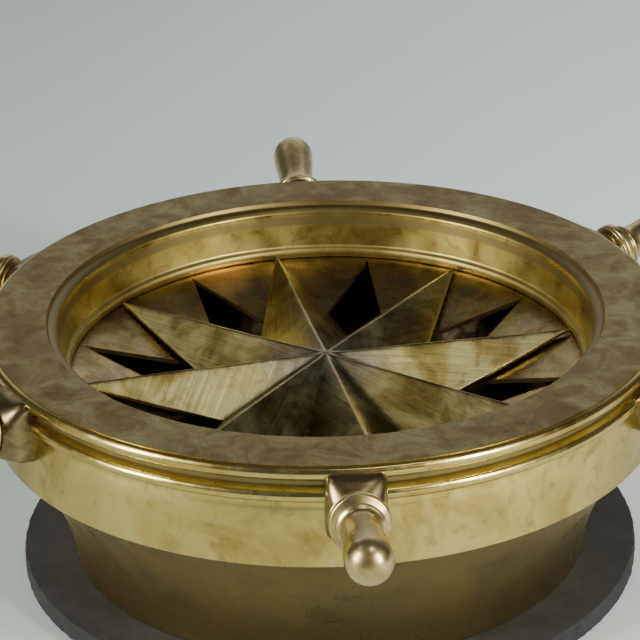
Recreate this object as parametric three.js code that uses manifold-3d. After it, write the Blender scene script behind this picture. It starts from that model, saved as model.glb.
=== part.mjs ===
// Brass deck ventilator with a ship's-wheel ring and a folded eight-ray star shutter.
// Millimetres, +Z up. The origin is on the axis, at the underside of the rubber gasket.
// The wheel, its handles, the star and the pivot post turn together over a fixed dish.

import * as THREE from 'three';
import { mergeVertices } from 'three/addons/utils/BufferGeometryUtils.js';
import Module from 'manifold-3d';

const wasm = await Module();
wasm.setup();

// ---- driving dimensions ----
const GAP = 0.3; // clearance kept between pieces that touch
const ROUND = 48; // facets round the large turned pieces
const TURNED = 12; // facets round the handles and the small turned pieces
const FINE = 10; // facets round the screws and their holes

const STAR_R = 76; // centre to the tip of a ray
const STAR_ANGLE = 101.7; // direction of the first ray, degrees
const RAYS = 8;
const RAY_STEP = 360 / RAYS;
const VALLEY_R = 36.8; // centre to the corner between two rays
const VALLEY_DROP = 10.9; // how far that corner lies below the tips
const APEX_RISE = 1.1; // how far the centre stands above the tips
const SHEET_T = 1.0; // the folded sheet, measured upright

const HANDLE_ANGLES = [94.1, 154.1, 209.5, 274.1, 337.8, 34.1]; // degrees, not quite even
const HANDLE_TILT = 8.5; // the handles rise outward, degrees
const HANDLE_R = 101; // where HANDLE_Z is measured
const HANDLE_Z = 67.4;

const GASKET_T = 6;
const GASKET_R = 94;
const DUCT_R = 62; // clear hole through the foot and the gasket
const TIP_Z = 64.4; // height of the ray tips
const TOP_Z = 80; // flat top of the wheel
const LAND_Z = 61.1; // top of the land that carries the dish and the wheel
const LAND_T = 3;
const LAND_BORE_R = 77.5;
const RING_UNDER_Z = 63.3; // underside of the wheel, over the land
const SKIRT_Z = 48.9; // bottom edge of the wheel
const SPIGOT_R = 97; // the body inside the wheel's skirt
const WALL_T = 3;
const FOOT_R = 78;
const FOOT_T = 4;
const LUG_L = 12;
const LUG_W = 12;
const LUG_H = 7;
const LUG_R = 81.95; // centre of a lug

const DISH_LIP_Z = 62.6;
const DISH_SLOPE = 0.285;
const DISH_RIM_R = 85;
const DISH_T = 1.2;
const DISH_START_R = 33; // inside the teeth's ends
const OPENING_TIP_R = 75.2; // the star opening cut in the dish
const OPENING_CORNER_R = 47.7;
const OPENING_CORNER_ANGLE = 11.6;
const TOOTH_END_R = 35.7;

const SPIDER_Z = 44.3; // underside of the arms
const SPIDER_T = 4;
const SPIDER_ARMS = 3;
const SPIDER_ANGLE = 30;
const SPIDER_SCREW_R = 83;
const SPIDER_END_R = 88;
const SPIDER_HOLE_R = 2.2;
const ARM_W = 8;
const HUB_R = 9;
const POST_R = 4;

const STUD_R = 2.5;
const STUD_IN = 5.3; // how far a stud reaches into the wheel from HANDLE_R
const BOSS_END = 8;
const STOP_ANGLE = 10;
const STOP_R = 94.2;
const STOP_PIN_R = 1.5;
const SHUTTER_TURN = 22.5; // from open to closed, degrees
const DISH_SCREWS = 4;
const DISH_SCREW_R = 81;
const DISH_SCREW_ANGLE = 45;
const FOOT_HOLES = 6;
const FOOT_CIRCLE_R = 69;
const FOOT_HOLE_R = 2.6;

// ---- finishes ----
const BRASS = { color: 0xb59a4e, roughness: 0.32, metalness: 1 };
const AGED_BRASS = { color: 0x8a7748, roughness: 0.5, metalness: 1 };
const BRONZE = { color: 0x6b5138, roughness: 0.4, metalness: 1 };
const SHEET_BRASS = { color: 0xa8975c, roughness: 0.38, metalness: 1 };
const RUBBER = { color: 0x1b1c1b, roughness: 0.85, metalness: 0 };
const LEATHER = { color: 0x4a3324, roughness: 0.9, metalness: 0 };

// ---- helpers ----
const radians = THREE.MathUtils.degToRad;

function polar(r, degrees) {
  return new THREE.Vector2(r * Math.cos(radians(degrees)), r * Math.sin(radians(degrees)));
}

// Shares the vertices of a geometry and drops the triangles that close to a line.
function weld(geometry) {
  const bare = geometry.clone();
  bare.deleteAttribute('normal');
  bare.deleteAttribute('uv');
  const merged = mergeVertices(bare, 1e-4);
  const index = merged.index.array;
  const kept = [];
  for (let i = 0; i < index.length; i += 3) {
    const [a, b, c] = [index[i], index[i + 1], index[i + 2]];
    if (a !== b && b !== c && c !== a) {
      kept.push(a, b, c);
    }
  }
  merged.setIndex(kept);
  return merged;
}

function toSolid(geometry) {
  const merged = weld(geometry);
  return new wasm.Manifold(new wasm.Mesh({
    numProp: 3,
    vertProperties: Float32Array.from(merged.attributes.position.array),
    triVerts: Uint32Array.from(merged.index.array),
  }));
}

function toGeometry(solid) {
  const mesh = solid.getMesh();
  const geometry = new THREE.BufferGeometry();
  geometry.setAttribute('position', new THREE.BufferAttribute(mesh.vertProperties, 3));
  geometry.setIndex(Array.from(mesh.triVerts));
  return geometry;
}

function cut(geometry, tools) {
  let solid = toSolid(geometry);
  for (const tool of tools) {
    solid = solid.subtract(toSolid(tool));
  }
  return toGeometry(solid);
}

function join(geometry, others) {
  let solid = toSolid(geometry);
  for (const other of others) {
    solid = solid.add(toSolid(other));
  }
  return toGeometry(solid);
}

// Turns an outline of [radius, height] points round the Z axis. An outline that doesn't
// reach the axis is closed on itself. Points run anticlockwise.
function turned(points, segments = ROUND) {
  const outline = points.map(([r, z]) => new THREE.Vector2(r, z));
  const onAxis = points[0][0] === 0;
  if (!onAxis) {
    outline.push(outline[0].clone());
  }
  return new THREE.LatheGeometry(outline, segments).rotateX(Math.PI / 2);
}

function rod(radius, zLow, zHigh, segments = TURNED) {
  return turned([[0, zLow], [radius, zLow], [radius, zHigh], [0, zHigh]], segments);
}

function extruded(shape, zLow, zHigh) {
  const options = { depth: zHigh - zLow, bevelEnabled: false, curveSegments: 12 };
  return new THREE.ExtrudeGeometry(shape, options).translate(0, 0, zLow);
}

// A solid through square-cornered to round sections across the Z axis. A section is
// [height, half depth along X, half width along Y, shift along X, squareness].
function lofted(sections, clearance = 0, steps = 24) {
  const points = [];
  const faces = [];
  const last = sections.length - 1;
  for (const [z, depth, width, shift, squareness] of sections) {
    for (let i = 0; i < steps; i++) {
      const way = polar(1, (360 / steps) * i);
      const across = Math.abs(way.x / (depth + clearance)) ** squareness
        + Math.abs(way.y / (width + clearance)) ** squareness;
      const r = across ** (-1 / squareness);
      points.push(r * way.x + shift, r * way.y, z);
    }
  }
  points.push(sections[0][3], 0, sections[0][0], sections[last][3], 0, sections[last][0]);
  const lowCentre = steps * sections.length;
  for (let i = 0; i < steps; i++) {
    const next = (i + 1) % steps;
    faces.push(lowCentre, next, i, lowCentre + 1, steps * last + i, steps * last + next);
    for (let k = 0; k < last; k++) {
      const [a, b, c, d] = [steps * k + i, steps * k + next, steps * (k + 1) + next,
        steps * (k + 1) + i];
      faces.push(a, b, c, a, c, d);
    }
  }
  const geometry = new THREE.BufferGeometry();
  geometry.setAttribute('position', new THREE.Float32BufferAttribute(points, 3));
  geometry.setIndex(faces);
  return geometry;
}

// Points on an ellipse in an outline, from one angle to another.
function arc(r, z, halfWidth, halfHeight, from, to, steps) {
  const points = [];
  for (let i = 0; i <= steps; i++) {
    const angle = radians(from + ((to - from) * i) / steps);
    points.push([r + halfWidth * Math.cos(angle), z + halfHeight * Math.sin(angle)]);
  }
  return points;
}

function around(geometry, r, degrees) {
  const spot = polar(r, degrees);
  return geometry.clone().translate(spot.x, spot.y, 0);
}

// Lays a piece that was turned round Z along the axis of one handle.
function alongHandle(geometry, number) {
  return geometry.clone()
    .rotateY(Math.PI / 2 - radians(HANDLE_TILT))
    .translate(HANDLE_R, 0, HANDLE_Z)
    .rotateZ(radians(HANDLE_ANGLES[number]));
}

const model = new THREE.Group();
const base = new THREE.Group();
const wheel = new THREE.Group();
model.add(base, wheel);

function place(parent, name, geometry, finish) {
  const mesh = new THREE.Mesh(weld(geometry), new THREE.MeshStandardMaterial(finish));
  mesh.name = name;
  parent.add(mesh);
  return mesh;
}

// ---- gasket ----
const footHoles = [];
for (let i = 0; i < FOOT_HOLES; i++) {
  footHoles.push(around(rod(FOOT_HOLE_R, -1, 20, FINE), FOOT_CIRCLE_R, (360 / FOOT_HOLES) * i));
}
const gasket = turned([[DUCT_R, 0], [GASKET_R - 0.4, 0], [GASKET_R, 0.6],
  [GASKET_R - 0.3, GASKET_T], [DUCT_R, GASKET_T]]);
place(base, 'deck_gasket', cut(gasket, footHoles), RUBBER);

// ---- body shell: a flared trunk with a foot flange, a land and three lugs ----
const footZ = GASKET_T + GAP;
const flare = new THREE.QuadraticBezierCurve(
  new THREE.Vector2(FOOT_R, footZ),
  new THREE.Vector2(80.5, 28),
  new THREE.Vector2(SPIGOT_R, 49),
);
const outerWall = flare.getPoints(6).map((p) => [p.x, p.y]);
const innerWall = outerWall.slice(1).reverse().map(([r, z]) => [r - WALL_T, z]);
const body = turned([
  [DUCT_R, footZ], ...outerWall, [SPIGOT_R, LAND_Z - 0.5], [SPIGOT_R - 0.5, LAND_Z],
  [LAND_BORE_R, LAND_Z], [LAND_BORE_R, LAND_Z - LAND_T], [SPIGOT_R - WALL_T, LAND_Z - LAND_T],
  ...innerWall, [DUCT_R, footZ + FOOT_T],
]);
const lugs = [];
const lugHoles = [];
for (let i = 0; i < SPIDER_ARMS; i++) {
  const angle = SPIDER_ANGLE + (360 / SPIDER_ARMS) * i;
  const lug = new THREE.BoxGeometry(LUG_L, LUG_W, LUG_H)
    .translate(LUG_R, 0, SPIDER_Z - GAP - LUG_H / 2);
  lugs.push(lug.rotateZ(radians(angle)));
  const hole = rod(SPIDER_HOLE_R, SPIDER_Z - 6, SPIDER_Z + SPIDER_T + 1, FINE);
  lugHoles.push(around(hole, SPIDER_SCREW_R, angle));
}
const dishScrewHole = turned([[0, 56], [1.95, 56], [1.95, 60.85], [3.4, 62.4], [3.4, 64],
  [0, 64]], FINE);
const dishScrewHoles = [];
for (let i = 0; i < DISH_SCREWS; i++) {
  const angle = DISH_SCREW_ANGLE + (360 / DISH_SCREWS) * i;
  dishScrewHoles.push(around(dishScrewHole, DISH_SCREW_R, angle));
}
const stopHole = around(rod(STOP_PIN_R + GAP, 50, 70, FINE), STOP_R, STOP_ANGLE);
const bodyTools = [...footHoles, ...lugHoles, ...dishScrewHoles, stopHole];
place(base, 'body_shell', cut(join(body, lugs), bodyTools), BRASS);

// ---- dish with the star opening ----
const dishDepth = (r) => DISH_LIP_Z - DISH_SLOPE * (STAR_R - r);
const dish = turned([
  [DISH_START_R, dishDepth(DISH_START_R) - 0.9], [STAR_R, DISH_LIP_Z - DISH_T],
  [DISH_RIM_R, DISH_LIP_Z - DISH_T], [DISH_RIM_R, DISH_LIP_Z], [STAR_R, DISH_LIP_Z],
  [DISH_START_R, dishDepth(DISH_START_R)],
]);
const opening = new THREE.Shape();
const openingPoints = [];
for (let i = 0; i < RAYS; i++) {
  const tipAngle = STAR_ANGLE + RAY_STEP * (i + 0.5);
  openingPoints.push(polar(OPENING_TIP_R, tipAngle));
  openingPoints.push(polar(OPENING_CORNER_R, tipAngle + OPENING_CORNER_ANGLE));
  openingPoints.push(polar(TOOTH_END_R, tipAngle + RAY_STEP / 2));
  openingPoints.push(polar(OPENING_CORNER_R, tipAngle + RAY_STEP - OPENING_CORNER_ANGLE));
}
opening.setFromPoints(openingPoints);
place(base, 'shutter_dish', cut(dish, [extruded(opening, 40, 70), ...dishScrewHoles]),
  AGED_BRASS);
const dishScrew = turned([[0, 56.5], [1.6, 56.5], [1.6, 60.9], [2.9, 62.3], [0, 62.3]], FINE);
for (let i = 0; i < DISH_SCREWS; i++) {
  const angle = DISH_SCREW_ANGLE + (360 / DISH_SCREWS) * i;
  place(base, `dish_screw_${i + 1}`, around(dishScrew, DISH_SCREW_R, angle), BRASS);
}

// ---- friction ring and stop pin between the land and the wheel ----
place(base, 'friction_ring', turned([[86.5, LAND_Z + GAP + 0.1], [91.5, LAND_Z + GAP + 0.1],
  [91.5, RING_UNDER_Z - GAP], [86.5, RING_UNDER_Z - GAP]]), LEATHER);
place(base, 'stop_pin', around(rod(STOP_PIN_R, 58.6, 66.4, FINE), STOP_R, STOP_ANGLE), BRASS);

// ---- spider: the three-armed bridge that guides the pivot post ----
const hub = rod(HUB_R, SPIDER_Z - 4, SPIDER_Z + 5);
const arms = [];
const armStart = HUB_R / 2;
for (let i = 0; i < SPIDER_ARMS; i++) {
  const arm = new THREE.BoxGeometry(SPIDER_END_R - armStart, ARM_W, SPIDER_T)
    .translate((SPIDER_END_R + armStart) / 2, 0, SPIDER_Z + SPIDER_T / 2);
  arms.push(arm.rotateZ(radians(SPIDER_ANGLE + (360 / SPIDER_ARMS) * i)));
}
const postHole = rod(POST_R + GAP, 20, 70);
place(base, 'spider', cut(join(hub, arms), [postHole, ...lugHoles]), BRONZE);
const spiderScrew = turned([[0, SPIDER_Z - 5], [1.9, SPIDER_Z - 5], [1.9, 48.6], [3.6, 48.6],
  [3.4, 50.2], [2, 51], [0, 51]], FINE);
for (let i = 0; i < SPIDER_ARMS; i++) {
  const angle = SPIDER_ANGLE + (360 / SPIDER_ARMS) * i;
  place(base, `spider_screw_${i + 1}`, around(spiderScrew, SPIDER_SCREW_R, angle), BRASS);
}

// ---- wheel ring: flat top, two beads, a plain band, a bored and lipped inside ----
const ringProfile = [
  [76.8, RING_UNDER_Z], [SPIGOT_R + 0.5, RING_UNDER_Z], [SPIGOT_R + 0.5, SKIRT_Z],
  [99.8, SKIRT_Z], [100.3, SKIRT_Z + 0.5], [100.3, 62], [98.9, 67.4],
  ...arc(99.9, 71.1, 1.9, 1.8, -80, 80, 4), [98.7, 74],
  ...arc(99.7, 77.8, 2, 2.1, -70, 75, 4), [99.9, TOP_Z], [83, TOP_Z],
  [81, 78.2], [79.9, 77.2], [77.9, 66.2], [76.8, 65.5], [76.5, 64.6], [76.5, 63.6],
];
const bossSections = [
  [-1.4, 9.25, 8.5, -1.65, 7], [2.5, 9.1, 8.4, -1.5, 6], [5, 8.5, 8.1, -0.9, 4],
  [7, 7.7, 7.6, -0.3, 2.4], [BOSS_END, 7.2, 7.2, 0, 2],
];
const pocketSections = [[-1.7, ...bossSections[0].slice(1)], ...bossSections.slice(1)];
const handleTool = rod(STUD_R + GAP, -STUD_IN - GAP, 12);
const pocketTool = lofted(pocketSections, GAP);
const slotHalf = STOP_PIN_R + GAP + 0.1;
const slotPoints = [];
for (const [end, side] of [[STOP_ANGLE + SHUTTER_TURN, 1], [STOP_ANGLE, -1]]) {
  const centre = polar(STOP_R, end);
  for (let i = 0; i <= 8; i++) {
    const turn = (180 / 8) * i + (side > 0 ? 0 : 180);
    slotPoints.push(centre.clone().add(polar(slotHalf, end + turn)));
  }
  for (let i = 1; i < 6; i++) {
    slotPoints.push(polar(STOP_R - side * slotHalf, end - (side * SHUTTER_TURN * i) / 6));
  }
}
const slot = new THREE.Shape(slotPoints);
const ringTools = [extruded(slot, RING_UNDER_Z - 1, 67.4)];
for (let i = 0; i < HANDLE_ANGLES.length; i++) {
  ringTools.push(alongHandle(handleTool, i), alongHandle(pocketTool, i));
}
place(wheel, 'wheel_ring', cut(turned(ringProfile), ringTools), BRASS);

// ---- star shutter: one folded sheet, a level ridge along each ray ----
function starSheet() {
  const points = [];
  for (const drop of [0, -SHEET_T]) {
    points.push(0, 0, TIP_Z + APEX_RISE + drop);
    for (let i = 0; i < RAYS; i++) {
      const tip = polar(STAR_R, STAR_ANGLE + RAY_STEP * i);
      const valley = polar(VALLEY_R, STAR_ANGLE + RAY_STEP * (i + 0.5));
      points.push(tip.x, tip.y, TIP_Z + drop);
      points.push(valley.x, valley.y, TIP_Z - VALLEY_DROP + drop);
    }
  }
  const edge = 2 * RAYS;
  const under = edge + 1;
  const faces = [];
  for (let i = 0; i < edge; i++) {
    const a = 1 + i;
    const b = 1 + ((i + 1) % edge);
    faces.push(0, a, b);
    faces.push(under, under + b, under + a);
    faces.push(a, under + a, under + b, a, under + b, b);
  }
  const geometry = new THREE.BufferGeometry();
  geometry.setAttribute('position', new THREE.Float32BufferAttribute(points, 3));
  geometry.setIndex(faces);
  return geometry;
}
place(wheel, 'star_shutter', starSheet(), SHEET_BRASS);

// ---- pivot post, washer and nut under the star ----
place(wheel, 'pivot_post', rod(POST_R, 33, 62.4), BRONZE);
place(wheel, 'thrust_washer', turned([[POST_R + GAP, 38.3], [8.5, 38.3], [8.5, 39.8],
  [POST_R + GAP, 39.8]], TURNED), BRASS);
const nutShape = new THREE.Shape();
nutShape.setFromPoints([0, 60, 120, 180, 240, 300].map((angle) => polar(7.5, angle)));
const nut = cut(extruded(nutShape, 34, 38), [rod(POST_R + GAP, 30, 45)]);
place(wheel, 'pivot_nut', nut, BRASS);

// ---- six handles: boss, turned grip with collars, and the stud through the wheel ----
// Outlines run outward from HANDLE_R along the handle's own axis.
const boss = cut(lofted(bossSections), [rod(STUD_R + GAP, -5, 12)]);
const gripStart = BOSS_END + GAP;
const grip = turned([
  [0, 24], [STUD_R + GAP, 24], [STUD_R + GAP, gripStart], [6.9, gripStart], [6.9, 9.3],
  [8.2, 10.2], [8.5, 11.2], [8.2, 12.3], [6.1, 13.7], [6.8, 14.4], [6.8, 15.6], [5.2, 17.5],
  [6.2, 28], [6.6, 35], ...arc(0, 38.4, 6.6, 6.6, 0, 70, 4), [0, 45],
], TURNED);
const stud = rod(STUD_R, -STUD_IN, 23.5);
for (let i = 0; i < HANDLE_ANGLES.length; i++) {
  place(wheel, `boss_${i + 1}`, alongHandle(boss, i), BRONZE);
  place(wheel, `handle_${i + 1}`, alongHandle(grip, i), BRASS);
  place(wheel, `stud_${i + 1}`, alongHandle(stud, i), AGED_BRASS);
}

export default model;
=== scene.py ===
"""Brass deck ventilator with a ship's-wheel ring: fine meshes and finishes on the frame.

Outlines and sizes are in millimetres, and become metres when a mesh is made.
Outlines are (radius, height), turned round Z. A third number is the fillet of that corner.
"""

import math
import random

import bmesh
import bpy
from mathutils import Matrix, Vector, noise


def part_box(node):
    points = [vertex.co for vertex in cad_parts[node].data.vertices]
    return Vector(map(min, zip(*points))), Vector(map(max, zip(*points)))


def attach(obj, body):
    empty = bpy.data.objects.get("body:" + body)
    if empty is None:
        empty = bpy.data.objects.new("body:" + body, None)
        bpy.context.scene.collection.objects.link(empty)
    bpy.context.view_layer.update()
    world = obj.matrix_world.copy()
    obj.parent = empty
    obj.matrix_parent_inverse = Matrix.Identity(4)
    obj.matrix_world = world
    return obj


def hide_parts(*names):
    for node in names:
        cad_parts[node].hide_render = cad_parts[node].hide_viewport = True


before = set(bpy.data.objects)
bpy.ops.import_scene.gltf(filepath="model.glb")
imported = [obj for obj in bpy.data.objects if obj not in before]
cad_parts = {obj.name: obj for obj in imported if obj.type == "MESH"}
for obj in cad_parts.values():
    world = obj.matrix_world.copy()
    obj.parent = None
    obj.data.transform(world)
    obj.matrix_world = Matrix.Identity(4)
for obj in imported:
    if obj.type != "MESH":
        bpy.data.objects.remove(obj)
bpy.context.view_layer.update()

MM = 0.001

# ---- sizes shared with the frame, in millimetres ----
TOP_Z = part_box("wheel_ring")[1].z / MM
SKIRT_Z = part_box("wheel_ring")[0].z / MM
GASKET_TOP_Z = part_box("deck_gasket")[1].z / MM
GASKET_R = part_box("deck_gasket")[1].x / MM
LAND_Z = 61.1
LAND_T = 3.0
LAND_R = 77.5
RING_UNDER_Z = 63.3
SPIGOT_R = 97.0
WALL_T = 3.0
DUCT_R = 62.0
FOOT_R = 78.0
FOOT_T = 4.0
FLARE_PULL = (80.5, 28)
FLARE_TOP_Z = 49

STAR_R = 76.0
STAR_ANGLE = 101.7
RAYS = 8
RAY_STEP = 360 / RAYS
VALLEY_R = 36.8
TIP_Z = 64.4
VALLEY_Z = 53.5
APEX_Z = 65.5
SHEET_T = 1.0

HANDLE_ANGLES = (94.1, 154.1, 209.5, 274.1, 337.8, 34.1)
HANDLE_TILT = 8.5
HANDLE_R = 101.0
HANDLE_Z = 67.4
STUD_R = 2.5
STUD_HOLE_R = 2.8

DISH_LIP_Z = 62.6
DISH_SLOPE = 0.285
DISH_RIM_R = 85.0
DISH_T = 1.2
OPENING_TIP_R = 75.2
OPENING_CORNER_R = 47.7
OPENING_CORNER_ANGLE = 11.6
TOOTH_END_R = 35.7

SPIDER_Z = 44.3
SPIDER_ARMS = 3
SPIDER_ANGLE = 30
SPIDER_ARM_T = 4
SPIDER_SCREW_R = 83.0
SPIDER_HOLE_R = 2.2
DISH_SCREWS = 4
DISH_SCREW_R = 81.0
DISH_SCREW_ANGLE = 45
DISH_HOLE_R = 1.95
FOOT_HOLES = 6
FOOT_HOLE_R = 2.6
FOOT_CIRCLE_R = 69.0
STOP_ANGLE = 10
STOP_R = 94.2
STOP_HOLE_R = 1.8
SHUTTER_TURN = 22.5

# ---- where each stretch of the wheel ring's surface starts, in millimetres ----
BORE_WALL_R = 80.0
LIP_TOP_Z = 66.5
LEDGE_R = 83.05
LEDGE_Z = 77.2
COVE_LOW_Z = 73.15
COVE_HIGH_Z = 76.0
COVE_R = 99.45

# ---- how the star is scratched and worn ----
GRAIN_LEAN = 16
CROSS_LEAN = {3: 60, 4: 55}  # two facets are scratched nearly across
FACET_SHIFT = 40
FOLD_WEAR = 0.35
EDGE_WEAR = 0.3


# ---- camera ----
def make_camera():
    """Looks at the star's centre from the front, with a small roll, tilt and pan."""
    elevation, distance = math.radians(25.84), 0.8626
    roll, tilt, pan = 1.186, 0.699, 0.1216
    data = bpy.data.cameras.new("camera")
    data.sensor_width = 36
    data.lens = 161.65
    camera = bpy.data.objects.new("camera", data)
    bpy.context.scene.collection.objects.link(camera)
    back = Vector((0, -math.cos(elevation), math.sin(elevation)))
    look = (-back).to_track_quat("-Z", "Y").to_matrix()
    look = look @ Matrix.Rotation(-math.radians(roll), 3, "Z")
    look = look @ Matrix.Rotation(math.radians(tilt), 3, "X")
    look = look @ Matrix.Rotation(math.radians(pan), 3, "Y")
    camera.matrix_world = Matrix.Translation(
        Vector((0, 0, TIP_Z * MM)) + back * distance) @ look.to_4x4()
    bpy.context.scene.camera = camera


make_camera()


# ---- finishes ----
class Finish:
    """A node material. Each call adds a node and returns the socket that it gives."""

    def __init__(self, name, metallic=1.0):
        self.material = bpy.data.materials.new(name)
        self.material.use_nodes = True
        self.tree = self.material.node_tree
        self.shader = self.tree.nodes["Principled BSDF"]
        self.shader.inputs["Metallic"].default_value = metallic
        place = self.add("TexCoord").outputs["Object"]
        self.mm = self.vector("SCALE", place, scale=1 / MM)
        parts = self.add("SeparateXYZ", {0: self.mm})
        self.x, self.y, self.z = parts.outputs
        flat = self.add("CombineXYZ", {0: self.x, 1: self.y}).outputs[0]
        self.radius = self.add("VectorMath", {0: flat}, operation="LENGTH").outputs["Value"]

    def add(self, kind, inputs=None, **settings):
        node = self.tree.nodes.new("ShaderNode" + kind)
        for key, value in settings.items():
            setattr(node, key, value)
        for key, value in (inputs or {}).items():
            self.feed(node.inputs[key], value)
        return node

    def feed(self, socket, value):
        if isinstance(value, bpy.types.NodeSocket):
            self.tree.links.new(value, socket)
        elif isinstance(value, tuple) and len(value) == 3 and socket.type == "RGBA":
            socket.default_value = (*value, 1)
        else:
            socket.default_value = value

    def vector(self, operation, a, b=None, scale=None):
        inputs = {0: a}
        if b is not None:
            inputs[1] = b
        if scale is not None:
            inputs["Scale"] = scale
        return self.add("VectorMath", inputs, operation=operation).outputs["Vector"]

    def maths(self, operation, a, b=0.0, clamp=False):
        return self.add("Math", {0: a, 1: b}, operation=operation, use_clamp=clamp).outputs[0]

    def noise(self, size, detail=4.0, rough=0.55, twist=0.0, at=None, stretch=None):
        """Noise whose patches are about size millimetres across."""
        at = self.mm if at is None else at
        if stretch:
            at = self.vector("MULTIPLY", at, stretch)
        node = self.add("TexNoise", {
            "Vector": at, "Scale": 1 / size, "Detail": detail, "Roughness": rough,
            "Distortion": twist})
        return node.outputs["Fac"]

    def between(self, value, low, high, to_low=0.0, to_high=1.0):
        node = self.add("MapRange", {
            "Value": value, "From Min": low, "From Max": high, "To Min": to_low,
            "To Max": to_high}, interpolation_type="SMOOTHSTEP")
        return node.outputs["Result"]

    def step(self, value, at, soft):
        """Rises from 0 to 1 where the value passes a place. A negative soft falls instead."""
        return self.between(value, at - soft, at + soft)

    def colours(self, value, *stops):
        """A colour ramp. Each stop is (position, colour)."""
        node = self.add("ValToRGB", {0: value})
        ramp = node.color_ramp
        while len(ramp.elements) < len(stops):
            ramp.elements.new(0.5)
        for element, (position, colour) in zip(ramp.elements, stops):
            element.position = position
            element.color = (*colour, 1)
        return node.outputs["Color"]

    def mix(self, amount, a, b, blend="MIX"):
        node = self.add("Mix", {0: amount, 6: a, 7: b}, data_type="RGBA", blend_type=blend)
        return node.outputs[2]

    def blend(self, amount, a, b):
        node = self.add("Mix", {0: amount, 2: a, 3: b}, data_type="FLOAT")
        return node.outputs[0]

    def ring_lines(self, size, around=0.02):
        """Fine tool marks that run round the Z axis."""
        heights = self.maths("ADD", self.radius, self.z)
        across = self.maths("SUBTRACT", self.radius, self.z)
        turn = self.maths("ARCTAN2", self.y, self.x)
        at = self.add("CombineXYZ", {
            0: heights, 1: across, 2: self.maths("MULTIPLY", turn, around)}).outputs[0]
        return self.noise(size, detail=2.0, at=at)

    def bump(self, *layers):
        """Each layer is (height, strength, depth in millimetres)."""
        normal = None
        for height, strength, depth in layers:
            inputs = {"Strength": strength, "Distance": depth * MM, "Height": height}
            if normal is not None:
                inputs["Normal"] = normal
            normal = self.add("Bump", inputs).outputs["Normal"]
        self.feed(self.shader.inputs["Normal"], normal)

    def finish(self, colour, roughness):
        self.feed(self.shader.inputs["Base Color"], colour)
        self.feed(self.shader.inputs["Roughness"], roughness)
        return self.material


def wheel_finish():
    """Gold outside, stained in the bore and dull on the flat top, with painted shade on the lip,
    in the cove and on the ledge.
    """
    f = Finish("wheel brass")
    cloud = f.noise(24, detail=5, rough=0.6, twist=0.8)
    smear = f.noise(8, detail=5, rough=0.62, twist=1.4)
    soft = f.noise(13, detail=3, rough=0.5, twist=0.5)
    fleck = f.noise(1.8, detail=3, rough=0.6)
    gold = f.colours(cloud, (0.32, (0.38, 0.25, 0.065)), (0.5, (0.54, 0.41, 0.125)),
                     (0.72, (0.58, 0.48, 0.18)))
    gold = f.mix(f.between(smear, 0.50, 0.74, 0, 0.6), gold, (0.30, 0.17, 0.05))
    bore = f.colours(soft, (0.30, (0.27, 0.19, 0.055)), (0.46, (0.47, 0.375, 0.115)),
                     (0.66, (0.62, 0.51, 0.18)))
    bore = f.mix(f.between(smear, 0.52, 0.70, 0, 0.6), bore, (0.22, 0.13, 0.04))
    bore = f.mix(f.between(fleck, 0.60, 0.74, 0, 0.35), bore, (0.16, 0.10, 0.035))
    patch = f.noise(12, detail=6, rough=0.68, twist=0.9)
    flat = f.colours(patch, (0.34, (0.155, 0.098, 0.033)), (0.44, (0.20, 0.145, 0.048)),
                     (0.53, (0.25, 0.205, 0.078)), (0.66, (0.30, 0.275, 0.13)))
    flat = f.mix(f.between(cloud, 0.52, 0.36, 0, 0.6), flat, (0.145, 0.095, 0.036))
    flat = f.mix(f.between(fleck, 0.58, 0.74, 0, 0.5), flat, (0.09, 0.055, 0.028))

    on_top = f.step(f.z, TOP_Z - 0.125, 0.095)
    inside = f.step(f.radius, BORE_WALL_R, -0.6)
    cove = f.maths("MULTIPLY", f.step(f.z, COVE_LOW_Z, 0.45), f.step(f.z, COVE_HIGH_Z, -0.4))
    cove = f.maths("MULTIPLY", cove, f.step(f.radius, COVE_R, -0.55))
    ledge = f.maths("MULTIPLY", f.step(f.radius, LEDGE_R, -0.15), f.step(f.z, LEDGE_Z, 0.2))
    lip = f.maths("MULTIPLY", inside, f.step(f.z, LIP_TOP_Z, -0.2))

    # Painted shade: the lip at the foot of the bore, the cove between the beads and the ledge at
    # the top of the bore are darkened where shade falls.
    bore = f.mix(f.maths("MULTIPLY", lip, 0.55), bore, (0.17, 0.12, 0.04))
    colour = f.mix(inside, gold, bore)
    colour = f.mix(f.maths("MULTIPLY", cove, 0.8), colour, (0.15, 0.115, 0.05))
    colour = f.mix(f.maths("MULTIPLY", ledge, 0.85), colour, (0.13, 0.10, 0.036))
    colour = f.mix(on_top, colour, flat)
    shine = f.between(smear, 0.35, 0.7, 0.20, 0.29)
    shine = f.blend(inside, shine, f.between(soft, 0.3, 0.7, 0.26, 0.36))
    shine = f.blend(f.maths("MAXIMUM", f.maths("MAXIMUM", cove, ledge), lip), shine, 0.44)
    shine = f.blend(on_top, shine, f.between(smear, 0.3, 0.7, 0.46, 0.60))
    f.bump((f.ring_lines(0.35), 0.08, 0.04), (f.noise(14, detail=2), 0.08, 0.9),
           (fleck, 0.05, 0.05))
    return f.finish(colour, shine)


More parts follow.
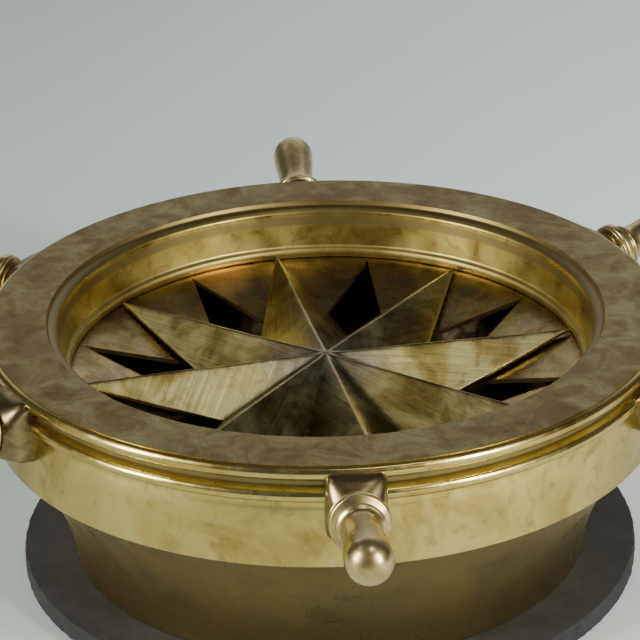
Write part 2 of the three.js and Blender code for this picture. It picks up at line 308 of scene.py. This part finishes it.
def star_finish():
    """Sheet rubbed down with coarse paper: the grain attribute runs along the scratches."""
    f = Finish("star brass")
    grain = f.add("Attribute", attribute_name="grain").outputs["Vector"]
    worn = f.add("Attribute", attribute_name="worn").outputs["Fac"]
    fine = f.noise(1, detail=4, rough=0.7, at=grain, stretch=(0.045, 3.2, 1))
    broad = f.noise(1, detail=3, rough=0.6, at=grain, stretch=(0.03, 0.5, 1))
    cloud = f.noise(20, detail=5, rough=0.6, twist=0.8)
    blot = f.noise(9, detail=5, rough=0.62, twist=1.2)
    colour = f.colours(cloud, (0.34, (0.13, 0.085, 0.024)), (0.46, (0.25, 0.195, 0.06)),
                       (0.60, (0.41, 0.38, 0.16)))
    heat = f.maths("ADD", f.between(f.radius, 36, 6, 0, 0.55), f.maths("MULTIPLY", blot, 0.6))
    colour = f.mix(f.between(heat, 0.50, 0.86, 0, 0.7), colour, (0.20, 0.185, 0.15))
    colour = f.mix(f.between(blot, 0.52, 0.68, 0, 0.7), colour, (0.20, 0.12, 0.045))
    streak = f.colours(fine, (0.38, (0.50, 0.48, 0.45)), (0.60, (1, 1, 1)))
    colour = f.mix(0.8, colour, streak, "MULTIPLY")
    colour = f.mix(f.maths("MULTIPLY", worn, 0.4), colour, (0.56, 0.45, 0.20))
    shine = f.maths("ADD", f.between(broad, 0.3, 0.7, 0.24, 0.32),
                    f.between(cloud, 0.4, 0.7, 0, 0.06))
    f.bump((fine, 0.40, 0.05), (broad, 0.10, 0.12), (f.noise(13, detail=2), 0.3, 0.9))
    return f.finish(colour, shine)


def dish_finish():
    """Heat-stained sheet with one painted orange reflection of a lamp near the wall."""
    f = Finish("dish brass")
    cloud = f.noise(17, detail=5, rough=0.62, twist=0.6)
    blot = f.noise(7, detail=4, rough=0.65, twist=0.4)
    fleck = f.noise(1.6, detail=3)
    colour = f.colours(cloud, (0.32, (0.12, 0.085, 0.032)), (0.47, (0.25, 0.175, 0.06)),
                       (0.60, (0.36, 0.26, 0.095)), (0.74, (0.23, 0.19, 0.10)))
    colour = f.mix(f.between(blot, 0.50, 0.66, 0, 0.7), colour, (0.25, 0.135, 0.045))
    colour = f.mix(f.between(blot, 0.45, 0.32, 0, 0.6), colour, (0.13, 0.135, 0.10))
    # Painted reflection: an orange glow of a lamp, put on the dish near the wall.
    patch = f.add("VectorMath", {0: f.mm, 1: (-33, 65, 62)}, operation="DISTANCE")
    patch = f.between(patch.outputs["Value"], 13, 2, 0, 0.85)
    colour = f.mix(patch, colour, (0.95, 0.55, 0.20))
    shine = f.between(blot, 0.3, 0.7, 0.20, 0.36)
    f.bump((f.noise(9, detail=3), 0.2, 0.6), (fleck, 0.12, 0.06))
    return f.finish(colour, shine)


def turned_finish(name, light, dark, low=0.26, high=0.42, size=7.0):
    """Satin turned metal with darker patches."""
    f = Finish(name)
    cloud = f.noise(size, detail=5, rough=0.6, twist=0.7)
    fleck = f.noise(1.5, detail=3)
    colour = f.colours(cloud, (0.36, dark), (0.62, light))
    colour = f.mix(f.between(fleck, 0.6, 0.75, 0, 0.4), colour, tuple(0.6 * c for c in dark))
    f.bump((fleck, 0.12, 0.06), (f.noise(3.5, detail=2), 0.12, 0.3))
    return f.finish(colour, f.between(cloud, 0.3, 0.7, high, low))


def rubber_finish():
    f = Finish("gasket rubber", metallic=0.0)
    grit = f.noise(0.5, detail=3)
    dust = f.noise(14, detail=5, rough=0.7)
    colour = f.colours(dust, (0.4, (0.016, 0.017, 0.017)), (0.75, (0.035, 0.036, 0.035)))
    f.bump((grit, 0.5, 0.12), (f.noise(3, detail=2), 0.3, 0.3))
    return f.finish(colour, f.between(dust, 0.3, 0.7, 0.78, 0.92))


def leather_finish():
    f = Finish("friction leather", metallic=0.0)
    grain = f.noise(1.2, detail=4)
    colour = f.colours(grain, (0.35, (0.08, 0.045, 0.025)), (0.7, (0.17, 0.10, 0.06)))
    f.bump((grain, 0.5, 0.15))
    return f.finish(colour, 0.8)


WHEEL = wheel_finish()
STAR = star_finish()
DISH = dish_finish()
BODY = turned_finish("body brass", (0.52, 0.43, 0.17), (0.36, 0.26, 0.085), 0.26, 0.38, 24)
BOSS = turned_finish("boss bronze", (0.31, 0.235, 0.11), (0.16, 0.115, 0.05), 0.22, 0.36)
HANDLE = turned_finish("handle brass", (0.58, 0.47, 0.21), (0.38, 0.285, 0.115), 0.24, 0.38)
STUD = turned_finish("stud brass", (0.50, 0.36, 0.12), (0.32, 0.20, 0.06), 0.24, 0.36)
SCREW = turned_finish("screw brass", (0.46, 0.35, 0.12), (0.28, 0.19, 0.07), 0.26, 0.4)
# Painted shade: near-black for the inside of the body, the spider and the post, which stand in
# shade.
INNER_SHADE = turned_finish("inner painted shade", (0.085, 0.06, 0.035), (0.03, 0.022, 0.014), 0.5, 0.7)
RUBBER = rubber_finish()
LEATHER = leather_finish()


# ---- meshes ----
def polar(r, degrees):
    angle = math.radians(degrees)
    return r * math.cos(angle), r * math.sin(angle)


def rounded(corners, steps=5):
    """An outline whose corners are (r, z) or (r, z, fillet). A fillet is a short curve."""
    points = []
    for i, corner in enumerate(corners):
        here = Vector(corner[:2])
        if len(corner) == 2:
            points.append(tuple(here))
            continue
        before = (Vector(corners[i - 1][:2]) - here)
        after = (Vector(corners[(i + 1) % len(corners)][:2]) - here)
        start = here + before.normalized() * min(corner[2], before.length / 2)
        end = here + after.normalized() * min(corner[2], after.length / 2)
        for k in range(steps + 1):
            t = k / steps
            points.append(tuple(start * (1 - t) ** 2 + here * 2 * t * (1 - t) + end * t * t))
    return points


def arc(r, z, half_width, half_height, start, end, steps=10):
    points = []
    for i in range(steps + 1):
        angle = math.radians(start + (end - start) * i / steps)
        points.append((r + half_width * math.cos(angle), z + half_height * math.sin(angle)))
    return points


def bezier(controls, steps):
    points = []
    for k in range(steps + 1):
        t = k / steps
        level = list(controls)
        while len(level) > 1:
            level = [a.lerp(b, t) for a, b in zip(level, level[1:])]
        points.append(tuple(level[0]))
    return points


def turned(outline, steps=96):
    """Points and faces of a closed outline of (radius, height) turned round Z."""
    points, faces = [], []
    count = len(outline)
    for i in range(steps):
        for r, z in outline:
            points.append((*polar(r, 360 * i / steps), z))
        here, there = i * count, (i + 1) % steps * count
        for k in range(count):
            m = (k + 1) % count
            faces.append((here + k, there + k, there + m, here + m))
    return points, faces


def solid(name, shape, sharp=38):
    """A mesh object from points in millimetres, with doubled points joined."""
    points, faces = shape
    mesh = bpy.data.meshes.new(name)
    mesh.from_pydata([Vector(p) * MM for p in points], [], faces)
    work = bmesh.new()
    work.from_mesh(mesh)
    bmesh.ops.remove_doubles(work, verts=work.verts, dist=1e-7)
    bmesh.ops.dissolve_degenerate(work, edges=work.edges, dist=1e-8)
    bmesh.ops.recalc_face_normals(work, faces=work.faces)
    work.to_mesh(mesh)
    work.free()
    smooth(mesh, sharp)
    made = bpy.data.objects.new(name, mesh)
    bpy.context.scene.collection.objects.link(made)
    return made


def smooth(mesh, sharp=38):
    for face in mesh.polygons:
        face.use_smooth = True
    mesh.set_sharp_from_angle(angle=math.radians(sharp))


def boolean(target, tools, operation):
    """Joins the tools to the target or cuts them out, then removes them."""
    for tool in tools:
        step = target.modifiers.new("step", "BOOLEAN")
        step.object = tool
        step.operation = operation
    bpy.context.view_layer.update()
    graph = bpy.context.evaluated_depsgraph_get()
    target.data = bpy.data.meshes.new_from_object(target.evaluated_get(graph))
    target.modifiers.clear()
    for tool in tools:
        bpy.data.objects.remove(tool)
    smooth(target.data)
    return target


def settle(piece, body, slot, materials, *nodes):
    """Gives a piece its finish and its body, and hides the nodes it stands for. The slot is not
    used.
    """
    for material in materials:
        piece.data.materials.append(material)
    even = piece.modifiers.new("even normals", "WEIGHTED_NORMAL")
    even.keep_sharp = True
    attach(piece, body)
    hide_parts(*nodes)
    return piece


def moved(piece, matrix):
    piece.data.transform(matrix)
    return piece


def handle_axis(number):
    """Turns a piece made round Z from HANDLE_R outward onto the axis of one handle."""
    turn = Matrix.Rotation(math.radians(HANDLE_ANGLES[number]), 4, "Z")
    out = Matrix.Translation((HANDLE_R * MM, 0, HANDLE_Z * MM))
    tilt = Matrix.Rotation(math.pi / 2 - math.radians(HANDLE_TILT), 4, "Y")
    return turn @ out @ tilt


def spot(r, degrees):
    x, y = polar(r, degrees)
    return Matrix.Translation((x * MM, y * MM, 0))


def rod(name, r, low, high, steps=48):
    return solid(name, turned([(0, low), (r, low), (r, high), (0, high)], steps))


def prism(name, outline, low, high):
    """A solid that stands on an outline of (x, y) from one height to another."""
    count = len(outline)
    points = [(x, y, z) for z in (low, high) for x, y in outline]
    faces = [tuple(reversed(range(count))), tuple(range(count, 2 * count))]
    faces += [(i, (i + 1) % count, count + (i + 1) % count, count + i) for i in range(count)]
    return solid(name, (points, faces))


def box_solid(name, low, high):
    (x0, y0, z0), (x1, y1, z1) = low, high
    return prism(name, ((x0, y0), (x1, y0), (x1, y1), (x0, y1)), z0, z1)


# ---- wheel ring ----
def stop_slot():
    """The groove under the wheel that the stop pin runs in: two round ends and two sides."""
    half, top = 1.9, 67.4
    end_steps, side_steps = 12, 8
    outline = []
    for end, first, way in ((STOP_ANGLE + SHUTTER_TURN, 0, -1), (STOP_ANGLE, 180, 1)):
        cx, cy = polar(STOP_R, end)
        for i in range(end_steps + 1):
            dx, dy = polar(half, end + first + 180 * i / end_steps)
            outline.append((cx + dx, cy + dy))
        for i in range(1, side_steps):
            outline.append(polar(STOP_R + way * half, end + way * SHUTTER_TURN * i / side_steps))
    return prism("slot tool", outline, RING_UNDER_Z - 1, top)


def make_ring():
    """A turned ring with two beads, a cove between them, a bore and a thin lip inside."""
    outline = rounded([(76.7, 62.85, .1), (79, 62.85, .1), (79.2, RING_UNDER_Z),
                       (97.5, RING_UNDER_Z), (97.5, SKIRT_Z, .2),
                       (100.3, SKIRT_Z, .5), (100.3, 62), (99.1, 66.6), (98.9, 68.2)])
    outline += arc(99.9, 71.1, 1.9, 1.8, -80, 80) + rounded([(98.75, 73.6), (98.7, 74.8)])
    outline += arc(99.7, 77.8, 2.0, 2.0, -70, 60)
    outline += rounded([(100.1, TOP_Z, .5), (83, TOP_Z, .25), (82.5, 78.7, .5), (81.0, 78.2, .3),
                        (79.9, 77.4, .45), (77.9, 66.2, .5), (76.7, 65.5, .35),
                        (76.4, 64.5, .35), (76.55, 63.3)])
    ring = solid("ship_wheel_ring", turned(outline, 288))
    boolean(ring, [stop_slot()], "DIFFERENCE")
    settle(ring, "wheel", "wheel_brass", [WHEEL], "wheel_ring")


# ---- star shutter ----
def sheet_shape(rows, thickness, edge=0.12):
    """Closes rows of points (rim last) and their copies below into one thin sheet."""
    count = len(rows[0])
    rim = rows[-1]

    def pushed(drop):
        out = []
        for x, y, z in rim:
            r = math.hypot(x, y)
            out.append((x * (1 + edge / r), y * (1 + edge / r), z - drop))
        return out

    under = [[(x, y, z - thickness) for x, y, z in row] for row in reversed(rows)]
    layers = rows + [pushed(edge), pushed(thickness - edge)] + under
    points = [p for layer in layers for p in layer]
    faces = []
    for k in range(len(layers) - 1):
        for i in range(count):
            j = (i + 1) % count
            faces.append((k * count + i, (k + 1) * count + i, (k + 1) * count + j,
                          k * count + j))
    return points, faces, layers


def make_star():
    """Eight ridges and eight valleys from one apex, with rounded folds and slight dents."""
    along, rings, fold = 16, 36, 0.42
    dent, dent_size, ripple, ripple_size = 0.34, 17, 0.05, 4
    apex = Vector((0, 0, APEX_Z))
    lines = []
    for k in range(2 * RAYS):
        r, z = (STAR_R, TIP_Z) if k % 2 == 0 else (VALLEY_R, VALLEY_Z)
        lines.append(Vector((*polar(r, STAR_ANGLE + RAY_STEP / 2 * k), z)))
    rim, planes = [], []
    for k in range(2 * RAYS):
        a, b = lines[k], lines[(k + 1) % (2 * RAYS)]
        normal = (a - apex).cross(b - apex)
        slope = Vector((-normal.x / normal.z, -normal.y / normal.z))
        for i in range(along):
            s = (1 - math.cos(math.pi * i / along)) / 2
            rim.append(a.lerp(b, s))
            planes.append((slope, a if k % 2 == 0 else b, b if k % 2 == 0 else a))
    rows = []
    for j in range(1, rings + 1):
        v = (j / rings) ** 1.25
        row = []
        for edge, (slope, ridge, valley) in zip(rim, planes):
            p = apex.lerp(edge, v)
            for line, sign in ((ridge, -1), (valley, 1)):
                way = Vector((line.x, line.y)).normalized()
                off = Vector((p.x, p.y)) - way * way.dot(Vector((p.x, p.y)))
                steep = abs(slope.dot(Vector((-way.y, way.x))))
                p.z += sign * steep * (math.hypot(off.length, fold) - off.length)
            p.z += dent * noise.noise(p / dent_size) + ripple * noise.noise(p / ripple_size)
            row.append(tuple(p))
        rows.append(row)
    rows.insert(0, [(0, 0, rows[0][0][2])] * len(rim))
    points, faces, _ = sheet_shape(rows, SHEET_T)
    star = solid("folded_star", (points, faces), sharp=50)
    add_grain(star)
    settle(star, "wheel", "star_brass", [STAR], "star_shutter")


def add_grain(star):
    """Stores, for each corner of each facet, its place along and across the scratches."""
    grain = star.data.attributes.new("grain", "FLOAT_VECTOR", "CORNER")
    picks = random.Random(4)
    lean = [picks.uniform(-GRAIN_LEAN, GRAIN_LEAN) for _ in range(2 * RAYS)]
    for facet, degrees in CROSS_LEAN.items():
        lean[facet] = degrees
    for face in star.data.polygons:
        angle = math.degrees(math.atan2(face.center.y, face.center.x)) - STAR_ANGLE
        facet = int(angle % 360 // (RAY_STEP / 2))
        ray = STAR_ANGLE + RAY_STEP * ((facet + 1) // 2)
        way = math.radians(ray + lean[facet])
        for corner in face.loop_indices:
            p = star.data.vertices[star.data.loops[corner].vertex_index].co / MM
            along = p.x * math.cos(way) + p.y * math.sin(way)
            across = p.y * math.cos(way) - p.x * math.sin(way)
            grain.data[corner].vector = (along, across, FACET_SHIFT * facet)
    add_wear(star)


def add_wear(star):
    """Marks the folds and the cut edges of the sheet, where the metal is rubbed bright."""
    worn = star.data.attributes.new("worn", "FLOAT", "POINT")
    for vertex in star.data.vertices:
        p = vertex.co / MM
        flat = math.hypot(p.x, p.y)
        turn = (math.degrees(math.atan2(p.y, p.x)) - STAR_ANGLE) % RAY_STEP
        off = math.radians(min(turn, RAY_STEP - turn))
        beside = flat * math.sin(off)
        edge = VALLEY_R * math.sin(math.radians(RAY_STEP / 2))
        reach = STAR_R - VALLEY_R * math.cos(math.radians(RAY_STEP / 2))
        inward = ((STAR_R - flat * math.cos(off)) * edge - beside * reach) / math.hypot(
            edge, reach)
        worn.data[vertex.index].value = max(0.0, 1 - beside / FOLD_WEAR,
                                            1 - abs(inward) / EDGE_WEAR)


# ---- dish ----
def make_dish():
    """A dished sheet with a star-shaped opening, and the four screws that hold it."""
    across, per_side = 26, 10
    dent, dent_size, dent_fade = 0.22, 16, 8
    corners = []
    for i in range(RAYS):
        tip = STAR_ANGLE + RAY_STEP * (i + 0.5)
        corners += [polar(OPENING_TIP_R, tip), polar(OPENING_CORNER_R, tip + OPENING_CORNER_ANGLE),
                    polar(TOOTH_END_R, tip + RAY_STEP / 2),
                    polar(OPENING_CORNER_R, tip + RAY_STEP - OPENING_CORNER_ANGLE)]
    rim = []
    for i, corner in enumerate(corners):
        a, b = Vector(corner), Vector(corners[(i + 1) % len(corners)])
        rim += [a.lerp(b, k / per_side) for k in range(per_side)]
    rows = []
    for j in range(across + 1):
        row = []
        for edge in rim:
            start = edge.length
            r = DISH_RIM_R + (start - DISH_RIM_R) * j / across
            x, y = edge.normalized() * r
            inward = max(0, STAR_R - r)
            z = DISH_LIP_Z - DISH_SLOPE * inward
            z += dent * noise.noise(Vector((x, y, 0)) / dent_size) * min(1, inward / dent_fade)
            row.append((x, y, z))
        rows.append(row)
    points, faces, layers = sheet_shape(rows, DISH_T, edge=-0.12)
    count, last = len(rim), len(layers) - 1
    for i in range(count):
        j = (i + 1) % count
        faces.append((last * count + i, i, j, last * count + j))
    dish = solid("star_cut_dish", (points, faces), sharp=50)
    holes = []
    for i in range(DISH_SCREWS):
        sink = turned([(0, 58), (DISH_HOLE_R, 58), (DISH_HOLE_R, 60.85), (3.4, 62.4), (3.4, 64),
                       (0, 64)], 32)
        hole = solid("sink tool", sink)
        holes.append(moved(hole, spot(DISH_SCREW_R, DISH_SCREW_ANGLE + 90 * i)))
    boolean(dish, holes, "DIFFERENCE")
    settle(dish, "base", "dish_brass", [DISH, SCREW], "shutter_dish")
    for face in dish.data.polygons:
        cut = abs(face.normal.z) < 0.3
        if cut and math.hypot(face.center.x, face.center.y) / MM < STAR_R:
            face.material_index = 1
    for i in range(DISH_SCREWS):
        outline = rounded([(0, 56.5), (1.6, 56.5, .3), (1.6, 60.9), (2.9, 62.3, .1), (0, 62.3)])
        screw = solid(f"countersunk_screw_{i + 1}", turned(outline, 32))
        turn = Matrix.Rotation(math.radians(25 + 70 * i), 4, "Z")
        cut = box_solid("driver tool", (-4, -0.4, 61.7), (4, 0.4, 63))
        boolean(screw, [cut], "DIFFERENCE")
        moved(screw, spot(DISH_SCREW_R, DISH_SCREW_ANGLE + 90 * i) @ turn)
        settle(screw, "base", "screw_brass", [SCREW], f"dish_screw_{i + 1}")


# ---- body, gasket and the pieces inside ----
def make_body():
    """A flare that stands on a foot flange and ends in a land, with three lugs inside."""
    foot_z = GASKET_TOP_Z + 0.3
    land_under_z = LAND_Z - LAND_T
    steps = 24
    ends = ((FOOT_R, foot_z), FLARE_PULL, (SPIGOT_R, FLARE_TOP_Z))
    start, pull, end = (Vector(p) for p in ends)
    flare = []
    for k in range(steps + 1):
        t = k / steps
        flare.append(tuple(start * (1 - t) ** 2 + pull * 2 * t * (1 - t) + end * t * t))
    inner = [(r - WALL_T, z) for r, z in reversed(flare[5:])]
    outline = [(DUCT_R, foot_z)] + flare
    outline += rounded([(SPIGOT_R, LAND_Z, .5), (LAND_R, LAND_Z, .3), (LAND_R, land_under_z, .3),
                        (SPIGOT_R - WALL_T, land_under_z, 1)])
    outline += inner + rounded([(76.6, foot_z + FOOT_T, 1.5), (DUCT_R, foot_z + FOOT_T, .6)])
    body = solid("flared_body", turned(outline, 192))
    lugs = []
    holes = []
    for i in range(SPIDER_ARMS):
        angle = SPIDER_ANGLE + 120 * i
        top = SPIDER_Z - 0.3
        lug = box_solid("lug", (76, -6, top - 7), (87.9, 6, top))
        lugs.append(moved(lug, Matrix.Rotation(math.radians(angle), 4, "Z")))
        holes.append(moved(rod("hole", SPIDER_HOLE_R, 36, 46, 24), spot(SPIDER_SCREW_R, angle)))
    boolean(body, lugs, "UNION")
    holes += foot_tools()
    for i in range(DISH_SCREWS):
        hole = rod("hole", DISH_HOLE_R, 50, 64, 24)
        holes.append(moved(hole, spot(DISH_SCREW_R, DISH_SCREW_ANGLE + 90 * i)))
    holes.append(moved(rod("hole", STOP_HOLE_R, 50, 64, 24), spot(STOP_R, STOP_ANGLE)))
    boolean(body, holes, "DIFFERENCE")
    settle(body, "base", "body_brass", [BODY, INNER_SHADE], "body_shell")
    # Faces that look inward, and the foot's faces below the land, get the second finish, a painted
    # shade.
    for face in body.data.polygons:
        r = math.hypot(face.center.x, face.center.y) / MM
        away = face.normal.x * face.center.x + face.normal.y * face.center.y
        if (away <= 0 or r < FOOT_R - 1) and face.center.z / MM < LAND_Z - 0.5:
            face.material_index = 1


def foot_tools():
    tools = []
    for i in range(FOOT_HOLES):
        hole = rod("hole", FOOT_HOLE_R, -1, 20, 32)
        tools.append(moved(hole, spot(FOOT_CIRCLE_R, 360 / FOOT_HOLES * i)))
    return tools


def make_gasket():
    """A rubber disc with a ragged outer edge that has one small fold in it."""
    steps, high = 480, GASKET_TOP_Z
    ragged, set_back = 1.2, 0.25
    outline = rounded([(DUCT_R, 0, .3), (GASKET_R, 0, .5), (GASKET_R - 0.2, high, .4),
                       (DUCT_R, high, .3)], 3)
    outline.insert(5, (GASKET_R - 0.05, high * 0.35))
    outline.insert(6, (GASKET_R - 0.1, high * 0.7))
    points, faces = turned(outline, steps)
    rough = []
    for x, y, z in points:
        r = math.hypot(x, y)
        if r > GASKET_R - ragged:
            at = Vector((x, y, z * 2))
            r2 = r - set_back + 0.22 * noise.noise(at / 2.2) + 0.12 * noise.noise(at / 0.7)
            x, y = x * r2 / r, y * r2 / r
        rough.append((x, y, z))
    gasket = boolean(solid("rubber_gasket", (rough, faces)), foot_tools(), "DIFFERENCE")
    settle(gasket, "base", "gasket_rubber", [RUBBER], "deck_gasket")


def make_inside():
    make_spider()
    make_bearing()


def make_spider():
    """The bridge that guides the post, and the screws that hold it to the lugs."""
    top = SPIDER_Z + 4
    hub = turned(rounded([(0, SPIDER_Z - 4), (9, SPIDER_Z - 4, .8), (9, SPIDER_Z + 5, .8),
                          (0, SPIDER_Z + 5)]), 64)
    spider = solid("bridge_spider", hub)
    arms = []
    for i in range(SPIDER_ARMS):
        arm = box_solid("arm", (4.5, -4, top - SPIDER_ARM_T), (88, 4, top))
        arms.append(moved(arm, Matrix.Rotation(math.radians(SPIDER_ANGLE + 120 * i), 4, "Z")))
    boolean(spider, arms, "UNION")
    holes = [rod("hole", 4.3, 20, 70)]
    for i in range(SPIDER_ARMS):
        hole = rod("hole", SPIDER_HOLE_R, 38, 50, 24)
        holes.append(moved(hole, spot(SPIDER_SCREW_R, SPIDER_ANGLE + 120 * i)))
    boolean(spider, holes, "DIFFERENCE")
    soften = spider.modifiers.new("soft edges", "BEVEL")
    soften.width = 0.5 * MM
    soften.segments = 3
    soften.angle_limit = math.radians(40)
    # The spider is given the near-black painted shade, as it sits in shade inside the body.
    settle(spider, "base", "inner_bronze", [INNER_SHADE], "spider")
    for i in range(SPIDER_ARMS):
        outline = rounded([(0, 39.3), (1.9, 39.3, .3), (1.9, 48.6), (3.6, 48.6, .2),
                           (3.4, 50.3, .5), (2, 51.0, .6), (0, 51.0)])
        screw = solid(f"round_head_screw_{i + 1}", turned(outline, 40))
        cut = box_solid("driver tool", (-4, -0.5, 50.1), (4, 0.5, 52))
        boolean(screw, [cut], "DIFFERENCE")
        moved(screw, spot(SPIDER_SCREW_R, SPIDER_ANGLE + 120 * i))
        settle(screw, "base", "screw_brass", [SCREW], f"spider_screw_{i + 1}")


def make_bearing():
    """The friction ring and the stop pin of the body, and what turns under the star."""
    leather = rounded([(86.5, 61.5, .2), (91.5, 61.5, .2), (91.5, 63.0, .2), (86.5, 63.0, .2)])
    settle(solid("leather_ring", turned(leather, 160)), "base", "friction_leather", [LEATHER],
           "friction_ring")
    pin = rounded([(0, 58.6), (1.5, 58.6, .2), (1.5, 66.4, .3), (0, 66.4)])
    pin = moved(solid("turn_stop_pin", turned(pin, 32)), spot(STOP_R, STOP_ANGLE))
    settle(pin, "base", "screw_brass", [SCREW], "stop_pin")

    post = rounded([(0, 33), (4, 33, .6), (4, 62.4, .3), (0, 62.4)])
    # The post is given the same near-black painted shade.
    settle(solid("turning_post", turned(post, 64)), "wheel", "inner_bronze", [INNER_SHADE],
           "pivot_post")
    washer = rounded([(4.3, 38.3, .1), (8.5, 38.3, .3), (8.5, 39.8, .3), (4.3, 39.8, .1)])
    settle(solid("bearing_washer", turned(washer, 64)), "wheel", "screw_brass", [SCREW],
           "thrust_washer")
    nut = solid("hexagon_nut", turned([(0, 34), (7.5, 34), (7.5, 38), (0, 38)], 6))
    crown = [(4.3, 33), (6.6, 33.6), (7.6, 34.5), (7.6, 37.5), (6.6, 38.4), (4.3, 39)]
    round_tool = solid("crown tool", turned(crown + [(4.3, 39)], 64))
    boolean(nut, [round_tool], "INTERSECT")
    settle(nut, "wheel", "screw_brass", [SCREW], "pivot_nut")


# ---- handles ----
def boss_shape(steps=72):
    """A squared block on the wheel that draws in to a round end.

    A section is (place along the axis, half height, half width, drop, squareness).
    """
    sections = ((-2.4, 9.25, 8.5, -1.65, 12), (1.0, 9.2, 8.45, -1.6, 12),
                (2.6, 9.1, 8.4, -1.5, 9), (4.2, 8.75, 8.25, -1.15, 5.5),
                (5.5, 8.3, 7.95, -0.7, 3.8), (6.6, 7.8, 7.6, -0.3, 2.8),
                (7.6, 7.4, 7.35, -0.05, 2.1), (8.0, 7.0, 7.0, 0, 2))
    rows = [(2.8, 2.8, -2.4, 0, 2), *((h, w, s, drop, n) for s, h, w, drop, n in sections),
            (2.8, 2.8, 8.0, 0, 2)]
    points, faces = [], []
    for height, width, s, drop, n in rows:
        for i in range(steps):
            x, y = polar(1, 360 * i / steps)
            r = (abs(x / height) ** n + abs(y / width) ** n) ** (-1 / n)
            points.append((r * x + drop, r * y, s))
    for k in range(len(rows)):
        there = (k + 1) % len(rows)
        for i in range(steps):
            j = (i + 1) % steps
            faces.append((k * steps + i, k * steps + j, there * steps + j, there * steps + i))
    return points, faces


def grip_outline():
    outline = rounded([(0, 24), (STUD_HOLE_R, 24), (STUD_HOLE_R, 8.3), (6.9, 8.3, .2),
                       (6.7, 9.1, .3)])
    outline += arc(7.7, 9.75, 0.75, 0.5, -70, 75, 6)
    outline += rounded([(8.0, 10.5, .2), (8.5, 10.9, .4), (8.45, 12.6, .5), (7.2, 13.2, .6),
                        (6.3, 13.7, .3)])
    outline += arc(6.1, 14.9, 0.8, 0.85, -65, 65, 6)
    neck = [Vector(p) for p in ((6.0, 16.1), (4.7, 17.4), (5.2, 22.0), (6.55, 31.0), (6.6, 38.4))]
    outline += bezier(neck, 22)
    return outline + arc(0, 38.4, 6.6, 6.6, 2, 88, 16) + [(0, 45)]


def make_handles():
    boss = boss_shape()
    grip = turned(grip_outline())
    stud = turned(rounded([(0, -5.3), (STUD_R, -5.3, .3), (STUD_R, 23.5, .3), (0, 23.5)]), 48)
    for i in range(len(HANDLE_ANGLES)):
        for name, shape, slot, material, node in (
                ("turned_boss", boss, "boss_bronze", BOSS, "boss"),
                ("turned_grip", grip, "handle_brass", HANDLE, "handle"),
                ("threaded_stud", stud, "stud_brass", STUD, "stud")):
            piece = solid(f"{name}_{i + 1}", shape)
            moved(piece, handle_axis(i))
            settle(piece, "wheel", slot, [material], f"{node}_{i + 1}")


make_ring()
make_star()
make_dish()
make_body()
make_gasket()
make_inside()
make_handles()


# ---- stage and light ----
def make_stage():
    """A sheet of paper that lies flat under the object and bends up behind it, with painted light
    falloff: darker to the left, lighter to the right.
    """
    f = Finish("paper sweep", metallic=0.0)
    # Painted shade and light: the paper is darker on the left and lighter on the right.
    painted_falloff = f.colours(f.between(f.x, -230, 230), (0.0, (0.44, 0.515, 0.49)),
                     (1.0, (0.77, 0.86, 0.855)))
    paper = f.finish(painted_falloff, 0.8)
    front_y, bend_y, bend_r, half_width, top = -3000, 1500, 900, 3500, 3500
    bend_steps, sink = 12, 0.1
    rows = [(front_y, 0), (bend_y, 0)]
    for i in range(1, bend_steps + 1):
        angle = math.radians(90 * i / bend_steps)
        rows.append((bend_y + bend_r * math.sin(angle), bend_r * (1 - math.cos(angle))))
    rows.append((bend_y + bend_r, top))
    points = [(x, y, z - sink) for y, z in rows for x in (-half_width, half_width)]
    faces = [(2 * i, 2 * i + 1, 2 * i + 3, 2 * i + 2) for i in range(len(rows) - 1)]
    sweep = solid("paper_sweep", (points, faces), sharp=60)
    sweep.data.materials.append(paper)


def softbox(name, azimuth, elevation, distance, width, height, watts, colour=(1, 1, 1)):
    """A soft light that looks at the object from an azimuth (+X is 0) and an elevation."""
    data = bpy.data.lights.new(name, "AREA")
    data.shape = "RECTANGLE"
    data.size = width
    data.size_y = height
    data.energy = watts
    data.color = colour
    light = bpy.data.objects.new(name, data)
    bpy.context.scene.collection.objects.link(light)
    a, e = math.radians(azimuth), math.radians(elevation)
    away = Vector((math.cos(a) * math.cos(e), math.sin(a) * math.cos(e), math.sin(e)))
    light.location = away * distance
    light.rotation_euler = away.to_track_quat("Z", "Y").to_euler()


def make_light():
    world = bpy.data.worlds.new("room")
    world.use_nodes = True
    sky = world.node_tree.nodes["Background"]
    sky.inputs["Color"].default_value = (0.80, 0.83, 0.87, 1)
    sky.inputs["Strength"].default_value = 0.10
    bpy.context.scene.world = world
    softbox("overhead", -50, 72, 1.6, 0.40, 0.40, 2.2, (1.0, 0.99, 0.96))
    softbox("left high", 176, 58, 1.6, 0.30, 0.30, 0.5, (1.0, 0.98, 0.94))
    softbox("left", 207, 27, 1.5, 0.19, 0.80, 29, (1.0, 0.98, 0.95))
    softbox("right", -42, 28, 1.5, 0.16, 0.70, 28, (1.0, 0.98, 0.95))
    softbox("back", 92, 26, 2.2, 2.2, 1.1, 5)


make_stage()
make_light()
